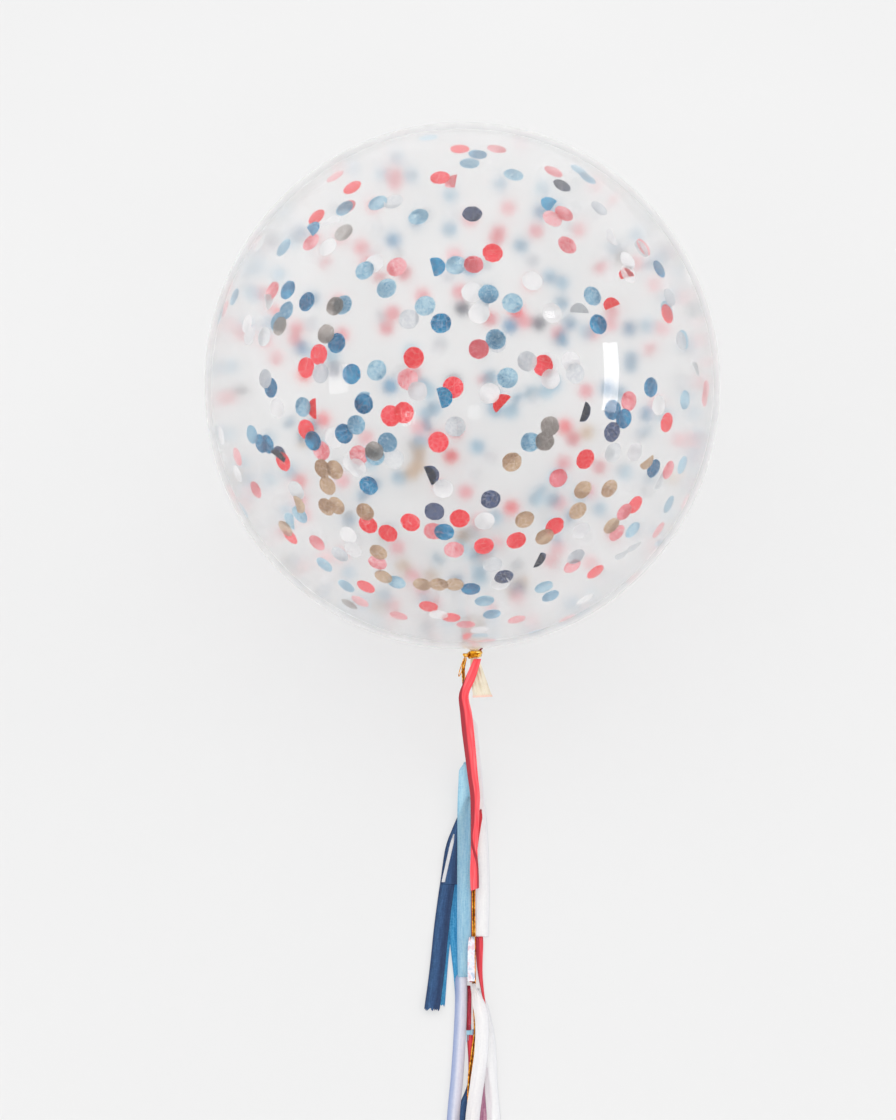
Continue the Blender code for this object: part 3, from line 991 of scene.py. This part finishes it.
def makeFoilPiece(name, parts, nodes, finish="cord", tips=()):
    whole = [(part, False, 0) for part in parts] + [(tip, False, 1) for tip in tips]
    mesh = joinMeshes(name, whole)
    mesh.materials.append(foils[finish])
    mesh.materials.append(foils["tip"])
    return makePiece(name, mesh, nodes)


def buildTie():
    # Three turns of foil round the neck, a last one drawn across them, and a cut end
    strand, wraps = cord["tieStrand"], cord["tieTurns"]
    reach = tieInner + strand / 2
    count = wraps * cord["tieSteps"]
    path = [
        roundAxis(
            reach,
            2 * math.pi * i / cord["tieSteps"] + cord["knotAngle"],
            -pinchStart - strand * (0.5 + (wraps - 1) * i / count),
        )
        for i in range(count + 1)
    ]
    crossing = []
    for i in range(cord["crossingSteps"] + 1):
        share = i / cord["crossingSteps"]
        out = reach + strand * (0.45 + 0.25 * math.sin(math.pi * share))
        turn = cord["knotAngle"] + cord["crossingTurn"] * share
        height = -pinchStart - strand * (wraps - 0.3 - (wraps - 0.6) * share)
        crossing.append(roundAxis(out, turn, height))
    tipWay = placed.to_3x3() @ Vector(cord["tipEnd"])
    tip = [crossing[-1] + tipWay * (k / 4) for k in range(5)]
    grain = cord["tieGrain"]
    parts = [
        foilTube(path, strand * cord["wrapShare"], 12, cord["wrapCrumple"], grain),
        foilTube(crossing, strand * cord["crossingShare"], 10, cord["crossingCrumple"], grain),
    ]
    tips = [foilTube(tip, strand * cord["tipShare"], 8, cord["crumple"])]
    makeFoilPiece("gold_tie", parts, ["neck_tie"], "tie", tips)


def knotPath(centre, width, lean):
    # A trefoil, which is how a simple overhand knot lies when it is drawn tight
    path = []
    for i in range(cord["knotSteps"] + 1):
        t = 2 * math.pi * i / cord["knotSteps"]
        x = math.sin(t) + 2 * math.sin(2 * t)
        y = math.cos(t) - 2 * math.cos(2 * t)
        point = Vector((x, y, -1.3 * math.sin(3 * t)))
        path.append(centre + Matrix.Rotation(lean, 3, "X") @ (point * width / 7.6))
    return path


def buildCord():
    route = [(0.0, knotCentre.x), *cord["route"]]
    crumple = cord["crumple"]
    start = cord["knotWidth"] / 2 + cord["touchGap"]
    count = round((cord["length"] - start) / cord["step"])
    reach, radius = cord["diameter"] / 4, cord["diameter"] / cord["strandShare"]
    depth = crumple * cord["strandCrumple"]
    strands = ([], [])
    for i in range(count + 1):
        distance = start + (cord["length"] - start) * i / count
        across = through(route, distance)
        tailPoint(distance, across, 0.0)
        turn = cord["rocking"] * math.sin(2 * math.pi * distance / cord["rockingPitch"])
        for strand, offset in zip(strands, (0, math.pi)):
            side = reach * math.cos(turn + offset)
            strand.append(tailPoint(distance, across + side, reach * math.sin(turn + offset)))
    parts = [
        foilTube(strand, radius, cord["sides"], depth, beside=beside)
        for strand, beside in (strands, strands[::-1])
    ]
    rope = makeFoilPiece("gold_cord", parts, ["cord"])

    # The knot at the neck, with a small loop that hangs from it
    path = knotPath(knotCentre, cord["knotWidth"], -view["elevation"])
    knot = foilTube(path, cord["knotStrand"], 9, crumple)
    loop = []
    for i in range(cord["loopSteps"] + 1):
        t = math.pi * 2 * i / cord["loopSteps"]
        down = cord["loopLength"] / 2 * (1 - math.cos(t))
        across = knotCentre.x - cord["loopLean"] * (down / cord["loopLength"])
        across -= cord["loopOpening"] * math.sin(t)
        loop.append(tailPoint(down, across, cord["loopRise"] * math.sin(t / 2)))
    parts = [knot, foilTube(loop, cord["loopStrand"], 7, cord["loopCrumple"])]
    makeFoilPiece("gold_neck_knot", parts, ["neck_knot"], "tie")

    width = cord["endKnotWidth"]
    end = cord["length"] + width / 2 + cord["touchGap"]
    place = tailPoint(end, through(route, end), width / 2 - cord["diameter"] / 2)
    path = knotPath(place, width, cord["endKnotLean"])
    knot = foilTube(path, cord["endKnotStrand"], 9, crumple)
    endKnot = makeFoilPiece("gold_end_knot", [knot], ["end_knot"])


buildTie()
buildCord()
print("gold cord, tie and knots")

# The strips: their places repeat the part's solids, and the rest is how each one folds
strips = dict(
    thickness=0.0003,
    rowStep=0.005,
    columns=12,
    tiedShare=0.3,
    tiedLength=0.016,
    pointShare=0.22,
    pointLength=0.14,
    frontLift=0.013,
    frontLiftStart=0.04,
    frontLiftLength=0.06,
    gatherDepth=0.0012,
    gatherWaves=11,
    wave=0.0022,            # how far the whole tail lifts from the floor in places
    ripple=0.0002,
    bandEdge=0.25,          # how softly a shaded band begins, in half widths
    floorGap=0.0005,
)

# A strip's finish is the first word of its name, unless it is given
# Where a strip has shaded bands, their deep crimson is painted shade
tailStrips = [
    dict(name="red_ribbon_top", start=0.0, length=0.44, width=0.018,
         layer=1, overCord=True, inFront=True, slant=0.003, shadeDepth=0.0012,
         across=(0.027, 0.015, 0.003, 0.0072, 0.011, 0.015, 0.0188, 0.023, 0.0232,
                 0.022, 0.021, 0.021, 0.0215),
         widths=(0.75, 1.0, 0.98, 1.18, 1.22, 1.14, 1.05, 0.98, 0.86, 0.74, 0.66, 0.85, 0.8),
         shaded=((0.0, -1.3, -1.3), (0.1, -1.3, -0.8), (0.2, -1.3, -0.3), (0.4, -1.3, -0.2),
                 (0.52, -1.3, -0.15), (0.6, -1.3, -0.05), (0.7, -1.3, -0.1), (0.78, -1.3, -0.4),
                 (0.88, 0.4, 1.3), (1.0, 0.5, 1.3))),
    dict(name="sky_strip_top", start=0.20, length=0.392, width=0.0245,
         layer=5, across=(0.0075, 0.0038, 0.0034, 0.0028, 0.0025, 0.0033)),
    dict(name="white_strip_right", start=0.118, length=0.402, width=0.023,
         layer=1, across=(0.0147, 0.0245, 0.034, 0.0364, 0.0333)),
    dict(name="navy_strip_short", start=0.262, length=0.162, width=0.030,
         layer=4, tiedLength=0.13, across=(0.012, -0.008, -0.018, -0.0225)),
    dict(name="navy_strip_long", start=0.262, length=0.39, width=0.026,
         layer=3, tiedLength=0.10, frayed=0.006, endLift=0.006,
         across=(0.012, -0.014, -0.026, -0.036, -0.0435, -0.0527)),
    dict(name="teal_strip_left", start=0.28, length=0.364, width=0.025,
         layer=1, tiedLength=0.06, frayed=0.007, across=(0.008, -0.012, -0.026, -0.0365, -0.0435)),
    dict(name="teal_strip_right", start=0.28, length=0.354, width=0.024,
         layer=2, tiedLength=0.06, pointed=True, across=(0.008, -0.008, -0.013, -0.0114, -0.0108)),
    dict(name="white_sliver", start=0.33, length=0.09, width=0.006,
         layer=5, across=(-0.0149, -0.0245, -0.034)),
    dict(name="red_strip_thin", finish="shadedRed", start=0.284, length=0.316, width=0.010,
         layer=2, across=(0.034, 0.0215, 0.0179, 0.0166, 0.0159)),
    dict(name="silver_strip", start=0.524, length=0.078, width=0.012,
         layer=1, overCord=True, tiedShare=0.8, across=(0.0151, 0.0138, 0.0138)),
    dict(name="red_strip_right", finish="shadedRed", start=0.52, length=0.128, width=0.0145,
         layer=3, tiedShare=0.9, pointed=True, across=(0.0282, 0.0292, 0.0376),
         shaded=((0.0, -1.3, -0.1), (0.5, -1.3, -0.4), (1.0, -1.3, -0.9)), shadeDepth=0.0004),
    dict(name="crimson_strip", start=0.606, length=0.076, width=0.0095,
         layer=3, tiedShare=0.6, across=(0.0095, 0.009, 0.0081)),
    dict(name="red_strip_low", finish="shadedRed", start=0.69, length=0.10, width=0.0135,
         layer=3, tiedShare=0.8, pointed=True, across=(0.0113, 0.011, 0.006),
         shaded=((0.0, -1.3, -0.5), (0.5, -1.3, -0.3), (1.0, -1.3, -0.3)), shadeDepth=0.0004),
    dict(name="teal_strip_low", start=0.68, length=0.075, width=0.011,
         layer=1, tiedShare=0.8, pointed=True, across=(0.018, 0.0185, 0.020)),
    dict(name="sky_strip_short", start=0.672, length=0.03, width=0.009,
         layer=2, tiedShare=0.8, across=(0.0098, 0.0097, 0.0096)),
    dict(name="lavender_strip", start=0.58, length=0.42, width=0.0205,
         layer=4, across=(-0.0031, -0.0036, -0.0065, -0.0108, -0.0165, -0.019, -0.018, -0.016)),
    dict(name="white_strip_front", start=0.606, length=0.43, width=0.023,
         layer=1, overCord=True, tiedLength=0.04,
         across=(0.0171, 0.030, 0.030, 0.0227, 0.0147, 0.010, 0.008, 0.010, 0.013)),
    dict(name="white_strip_side", start=0.61, length=0.40, width=0.022,
         layer=2, tiedLength=0.03, across=(0.024, 0.0411, 0.0448, 0.0495, 0.052, 0.053)),
    dict(name="mauve_strip", start=0.745, length=0.30, width=0.021,
         layer=1, tiedLength=0.05, across=(0.0375, 0.0345, 0.035, 0.037, 0.039)),
    dict(name="navy_strip_low", start=0.77, length=0.31, width=0.022,
         layer=2, tiedLength=0.05, across=(0.0095, -0.007, -0.010, -0.008, -0.006)),
    dict(name="sky_strip_end", start=0.86, length=0.26, width=0.022,
         layer=1, across=(0.009, -0.007, -0.020, -0.027)),
    dict(name="red_strip_end", start=0.87, length=0.24, width=0.020,
         layer=3, across=(0.014, 0.026, 0.032, 0.036)),
    dict(name="white_strip_end", start=0.89, length=0.25, width=0.023,
         layer=5, across=(0.010, 0.006, 0.004, 0.006)),
]


def stripLift(strip, distance):
    # The height of a strip's middle above the cord's middle
    if strip.get("overCord"):
        lift = cord["diameter"] / 2 + strip["layer"] * layerPitch - cord["layerThickness"] / 2
    else:
        lift = (strip["layer"] - 1) * layerPitch + cord["layerThickness"] / 2 - cordHeight
    if strip.get("inFront"):
        lift += strips["frontLift"] * (
            1 - smooth((distance - strips["frontLiftStart"]) / strips["frontLiftLength"])
        )
    return lift


def stripHalfWidth(strip, distance):
    # Half of a strip's width at a distance along the tail: gathered where it is tied,
    # and drawn to a point at its end if it has one
    tiedShare = strip.get("tiedShare", strips["tiedShare"])
    fromTie = (distance - strip["start"]) / strip.get("tiedLength", strips["tiedLength"])
    share = tiedShare + (1 - tiedShare) * smooth(fromTie)
    if strip.get("widths"):
        share = evenly(strip["widths"], (distance - strip["start"]) / strip["length"])
    if strip.get("pointed"):
        fromEnd = strip["start"] + strip["length"] - distance
        point = strips["pointShare"]
        share *= point + (1 - point) * smooth(fromEnd / strips["pointLength"])
    return strip["width"] * share / 2


def shadedBand(strip, along, v):
    # How far a place lies in the strip's band of painted shade, from 0 to 1, where the strip
    # also dips a little. The band is (share along the strip, left side, right side), its
    # sides in half widths
    bands = strip.get("shaded")
    if not bands:
        return 0.0
    left = through([(b[0], b[1]) for b in bands], along)
    right = through([(b[0], b[2]) for b in bands], along)
    soft = strips["bandEdge"]
    return smooth((v - left) / soft + 0.5) * smooth((right - v) / soft + 0.5)


def buildStrip(strip):
    # A strip of ribbon or tissue: gathered where it is tied, waving with the tail, and
    # with its own folds. Its UV map is its flat cut in metres
    start, length = strip["start"], strip["length"]
    tiedLength = strip.get("tiedLength", strips["tiedLength"])
    rows = max(round(length / strips["rowStep"]), 6)
    columns = strips["columns"] * (2 if strip.get("frayed") else 1)
    middle = evenPlaces(strip["across"], start, start + length)
    pick = random.Random(strip["name"])
    fray = [pick.random() * strip.get("frayed", 0.0) for _ in range(columns + 1)]
    phase = pick.uniform(0, 6.28)
    points, flat, shade, side = [], [], [], []
    for i in range(rows + 1):
        along = i / rows
        for k in range(columns + 1):
            v = 2 * k / columns - 1
            distance = start + length * along
            distance -= smooth((along - 0.9) * 10) * (fray[k] + strip.get("slant", 0.0) * (1 + v))
            across = through(middle, distance) + v * stripHalfWidth(strip, distance)
            band = shadedBand(strip, along, v)
            tied = 1 - smooth((distance - start) / tiedLength)
            swell = 0.5 + 0.5 * math.sin(distance * 26 + across * 20)
            lift = stripLift(strip, distance)
            lift += strips["gatherDepth"] * tied * math.cos(v * strips["gatherWaves"] + phase)
            lift += strips["wave"] * swell * smooth(distance * 4)
            lift += strip.get("endLift", 0.0) * smooth((along - 0.8) * 5) ** 2
            lift += strips["ripple"] * math.sin(v * 2.4 + distance * 60 + phase)
            lift -= strip.get("shadeDepth", 0.0) * band
            point = tailPoint(distance, across, lift)
            point.z = max(point.z, strips["floorGap"])
            points.append(point)
            flat.append((v * strip["width"] / 2, distance))
            shade.append(band)
            side.append(v)
    faces = []
    for i in range(rows):
        for k in range(columns):
            first = i * (columns + 1) + k
            faces.append((first, first + columns + 1, first + columns + 2, first + 1))
    mesh = pointMesh(strip["name"], points, faces)
    layer = mesh.uv_layers.new(name="UVMap")
    for loop in mesh.loops:
        layer.data[loop.index].uv = flat[loop.vertex_index]
    storeValues(mesh, "shade", shade)
    storeValues(mesh, "side", side)
    sheetObject = makeObject("flat_strip", mesh)
    shell = sheetObject.modifiers.new("thickness", "SOLIDIFY")
    shell.thickness = strips["thickness"]
    shell.offset = 0
    made = plainMesh(sheetObject)
    bpy.data.objects.remove(sheetObject)
    return made


def stripPlaces(tree, squash):
    # A strip's own flat coordinates, and the same drawn out along it
    flat = addNode(tree, "ShaderNodeTexCoord").outputs["UV"]
    long = addNode(tree, "ShaderNodeMapping", {"Vector": flat, "Scale": (1.0, squash, 1.0)})
    return flat, long.outputs[0]


def stripTissue(name, thin, colours, folds):
    # Thin dyed tissue: soft lengthwise streaks, and a fibre grain drawn at 3 mm so it shows.
    # The shade of its soft lengthwise folds is painted: a tint across it, from the left edge to the
    # right one, that mostly darkens it
    material, tree, place = startMaterial(name)
    flat, long = stripPlaces(tree, 0.09)
    streaks = addNode(tree, "ShaderNodeTexNoise", {
        "Vector": long, "Scale": 420.0, "Detail": 3.0, "Roughness": 0.6,
    })
    fibres = addNode(tree, "ShaderNodeTexNoise", {"Vector": place, "Scale": 300.0, "Detail": 2.0})
    most = addNode(tree, "ShaderNodeMath", {0: streaks, 1: 0.65}, operation="MULTIPLY")
    both = addNode(tree, "ShaderNodeMath", {
        0: fibres, 1: 0.35, 2: most,
    }, operation="MULTIPLY_ADD")
    dyed = addNode(tree, "ShaderNodeValToRGB", {"Fac": both}, evenPlaces(colours, 0.36, 0.64))
    side = addNode(tree, "ShaderNodeAttribute", attribute_name="side").outputs["Fac"]
    share = addNode(tree, "ShaderNodeMath", {0: side, 1: 0.5, 2: 0.5}, operation="MULTIPLY_ADD")
    # Painted shade of the soft folds, across the strip from its left edge to its right
    fold = addNode(tree, "ShaderNodeValToRGB", {"Fac": share}, evenPlaces(folds))
    tint = addNode(tree, "ShaderNodeMix", {
        "Factor": 1.0, 6: dyed, 7: fold,
    }, data_type="RGBA", blend_type="MULTIPLY")
    bump = addNode(tree, "ShaderNodeBump", {"Height": both, "Strength": 0.35, "Distance": 0.0006})
    return endMaterial(material, {
        "Base Color": tint.outputs[2],
        "Normal": bump,
        "Roughness": 0.5,
        "Specular IOR Level": 0.4,
    }, thin)


def satinRibbon(name, colours):
    # Woven satin ribbon: close crosswise threads under long floats, so it gleams softly
    # along its length, which is painted into its colour as lighter streaks, and where it
    # folds under, a deep crimson band is painted shade
    material, tree, place = startMaterial(name)
    flat, long = stripPlaces(tree, 0.06)
    threads = addNode(tree, "ShaderNodeTexWave", {
        "Vector": flat, "Scale": 190.0, "Distortion": 0.4, "Detail": 1.0,
    }, bands_direction="Y").outputs["Fac"]
    # Lighter streaks along the ribbon are a painted gleam, over its real sheen
    gleam = addNode(tree, "ShaderNodeTexNoise", {"Vector": long, "Scale": 260.0, "Detail": 2.0})
    face = addNode(tree, "ShaderNodeValToRGB", {"Fac": gleam}, evenPlaces(colours, 0.35, 0.65))
    paintedShade = addNode(tree, "ShaderNodeAttribute", attribute_name="shade")
    # The deep crimson where the shade value is high is painted shade
    tint = addNode(tree, "ShaderNodeMix", {
        "Factor": paintedShade.outputs["Fac"], 6: face, 7: linearColour("#A00C24"),
    }, data_type="RGBA")
    bump = addNode(tree, "ShaderNodeBump", {"Height": threads, "Strength": 0.2, "Distance": 0.0002})
    return endMaterial(material, {
        "Base Color": tint.outputs[2],
        "Normal": bump,
        "Roughness": 0.42,
        "Sheen Weight": 0.25,
        "Sheen Roughness": 0.4,
        "Specular IOR Level": 0.5,
    })


def pearlFilm():
    # Iridescent cellophane: a metallised film whose thin layer turns white to blue and pink
    material, tree, place = startMaterial("pearl_film")
    cloud = addNode(tree, "ShaderNodeTexNoise", {
        "Vector": place, "Scale": 90.0, "Detail": 2.0, "Distortion": 0.5,
    })
    tint = addNode(tree, "ShaderNodeValToRGB", {"Fac": cloud}, [
        (0.35, "#B8C2D4"), (0.5, "#E6E8F0"), (0.62, "#DCC0C8"),
    ])
    bump = addNode(tree, "ShaderNodeBump", {"Height": cloud, "Strength": 0.4, "Distance": 0.001})
    return endMaterial(material, {
        "Base Color": tint,
        "Normal": bump,
        "Roughness": 0.22,
        "Metallic": 0.6,
    })


# Each tissue: the share of light that it lets through, its dye, and the painted shade of its soft
# folds, from its left edge to its right
tissues = dict(
    crimson=(
        0.25, ("#8A1830", "#AE2840", "#C24458"), ("#A06070", "#D8A8B0", "#FFFFFF", "#FFE8F0"),
    ),
    mauve=(0.4, ("#A8688A", "#BE88A0", "#D2A8BA"), ("#E0C8D8", "#FFFFFF", "#F0E4EC")),
    sky=(
        0.4, ("#99CBE4", "#ACD9EC", "#BEE3F2"),
        ("#E4EEF4", "#FFFFFF", "#F2F4F6", "#DCE8F2", "#FFFFFF"),
    ),
    teal=(
        0.4, ("#2585B8", "#3E9BCB", "#62B2DA"),
        ("#C8DCE6", "#FFFFFF", "#DCE8F0", "#FFFFFF", "#C0D4E0"),
    ),
    navy=(
        0.15, ("#21456F", "#2A527E", "#38628E"),
        ("#98A4B8", "#FFFFFF", "#E0E6F0", "#98A6B8", "#B0BCCC"),
    ),
    white=(
        0.35, ("#F2F2F3", "#F6F6F6", "#FBFBFB"),
        ("#FFFFFF", "#F9F9FB", "#FFFFFF", "#F7F7F8", "#ECECF0"),
    ),
    lavender=(
        0.35, ("#E2E4F0", "#EAEBF4", "#F3F3F8"),
        ("#A2B0D2", "#BCC8E2", "#F4F4F8", "#E8E3E8", "#C8C0C6"),
    ),
)
finishes = dict(
    red=("red_ribbon", satinRibbon("red_satin_ribbon", ("#F03240", "#FB4651", "#FF6A70"))),
    # The darker red finish is the red satin ribbon painted darker, as if in shade
    shadedRed=("red_ribbon", satinRibbon("deep_red_ribbon", ("#C41A2C", "#D42636", "#DE3C4A"))),
    silver=("silver_film", pearlFilm()),
)
for name, looks in tissues.items():
    finishes[name] = (name + "_tissue", stripTissue(name + "_tissue_paper", *looks))

# Each strip's flat cut: a width of 10 mm or more, and an area that fits it, worked out below but
# not used further. What the sheet call takes: a width of 10 mm or more, and an area that fits it
smallestCut = dict(width=0.01, areaShare=0.31, slices=40)
for strip in tailStrips:
    name, length = strip["name"], strip["length"]
    slot, material = finishes[strip.get("finish", name.split("_")[0])]
    mesh = buildStrip(strip)
    mesh.materials.append(material)
    piece = makePiece(name + "_cloth", mesh, [name])
    cutWidth = max(strip["width"], smallestCut["width"])
    slices = smallestCut["slices"]
    middles = [strip["start"] + length * (k + 0.5) / slices for k in range(slices)]
    cutArea = sum(stripHalfWidth(strip, d) for d in middles) * 2 * length / slices
    cutArea = max(cutArea, smallestCut["areaShare"] * cutWidth * length)
    cutArea = min(cutArea, cutWidth * length)
print("strips:", len(tailStrips))

# Light: an even white room and a floor that is lit from below too, so that shadows stay
# faint, and windows that show only in the gloss
room = dict(
    strength=1.27,
    floorSize=14.0,
    windowDistance=3.0,
    floorDrop=0.0004,
    floorGlow=0.47,
    floorPaint=("#999999", "#9C9C9C"),
)


def buildRoom():
    scene = bpy.context.scene
    world = bpy.data.worlds.new("room")
    world.use_nodes = True
    background = world.node_tree.nodes["Background"]
    background.inputs["Color"].default_value = (1, 1, 1, 1)
    background.inputs["Strength"].default_value = room["strength"]
    scene.world = world
    scene.view_settings.view_transform = "Standard"
    # Rays that left a matt surface see the skin as it is, not blurred, so paper keeps its light
    scene.cycles.blur_glossy = 0.0
    material, tree, place = startMaterial("lit_floor")
    cloud = addNode(tree, "ShaderNodeTexNoise", {"Vector": place, "Scale": 0.8, "Detail": 2.0})
    paint = evenPlaces(room["floorPaint"], 0.3, 0.7)
    endMaterial(material, {
        "Base Color": addNode(tree, "ShaderNodeValToRGB", {"Fac": cloud}, paint),
        "Roughness": 0.7,
        "Specular IOR Level": 0.2,
        "Emission Color": (1, 1, 1, 1),
        "Emission Strength": room["floorGlow"],
    })
    half, low = room["floorSize"] / 2, -room["floorDrop"]
    corners = [(-half, -half, low), (half, -half, low), (half, half, low), (-half, half, low)]
    mesh = pointMesh("floor", corners, [(0, 1, 2, 3)])
    mesh.materials.append(material)
    makeObject("floor", mesh)


def addWindow(name, glint, width, height, strength):
    # A bright rectangle, hung where its glint on the skin shows at a chosen place beside
    # the balloon's middle, in millimetres as the camera sees it
    seen = seenPoint(*glint)
    outwards = Vector((seen.x / halfWidth**2, seen.y / halfWidth**2, seen.z / halfLength**2))
    outwards = (placed.to_3x3() @ outwards).normalized()
    seen = placed @ seen
    toCamera = (camera.location - seen).normalized()
    towards = outwards * (2 * outwards.dot(toCamera)) - toCamera
    light = bpy.data.lights.new(name, "AREA")
    light.shape = "RECTANGLE"
    light.size = width
    light.size_y = height
    light.energy = strength * width * height * math.pi
    lamp = makeObject(name, light)
    level = upwards.cross(towards).normalized()
    turn = Matrix((level, towards.cross(level), towards)).transposed().to_4x4()
    lamp.matrix_world = Matrix.Translation(seen + towards * room["windowDistance"]) @ turn
    lamp.visible_diffuse = False
    lamp.visible_transmission = False


buildRoom()
# Each window: its glint's place, its width, height and strength
windows = dict(
    tall_window=((268, 23), 0.42, 1.35, 14.0),
    small_window=((158, 135), 0.22, 0.16, 12.0),
    left_glow=((-222, 20), 0.5, 0.6, 6.0),
    middle_glow=((-95, -52), 0.35, 0.3, 5.0),
    right_glow=((22, -40), 0.3, 0.3, 4.0),
)
for name, values in windows.items():
    addWindow(name, *values)
print("room and windows:", len(windows))
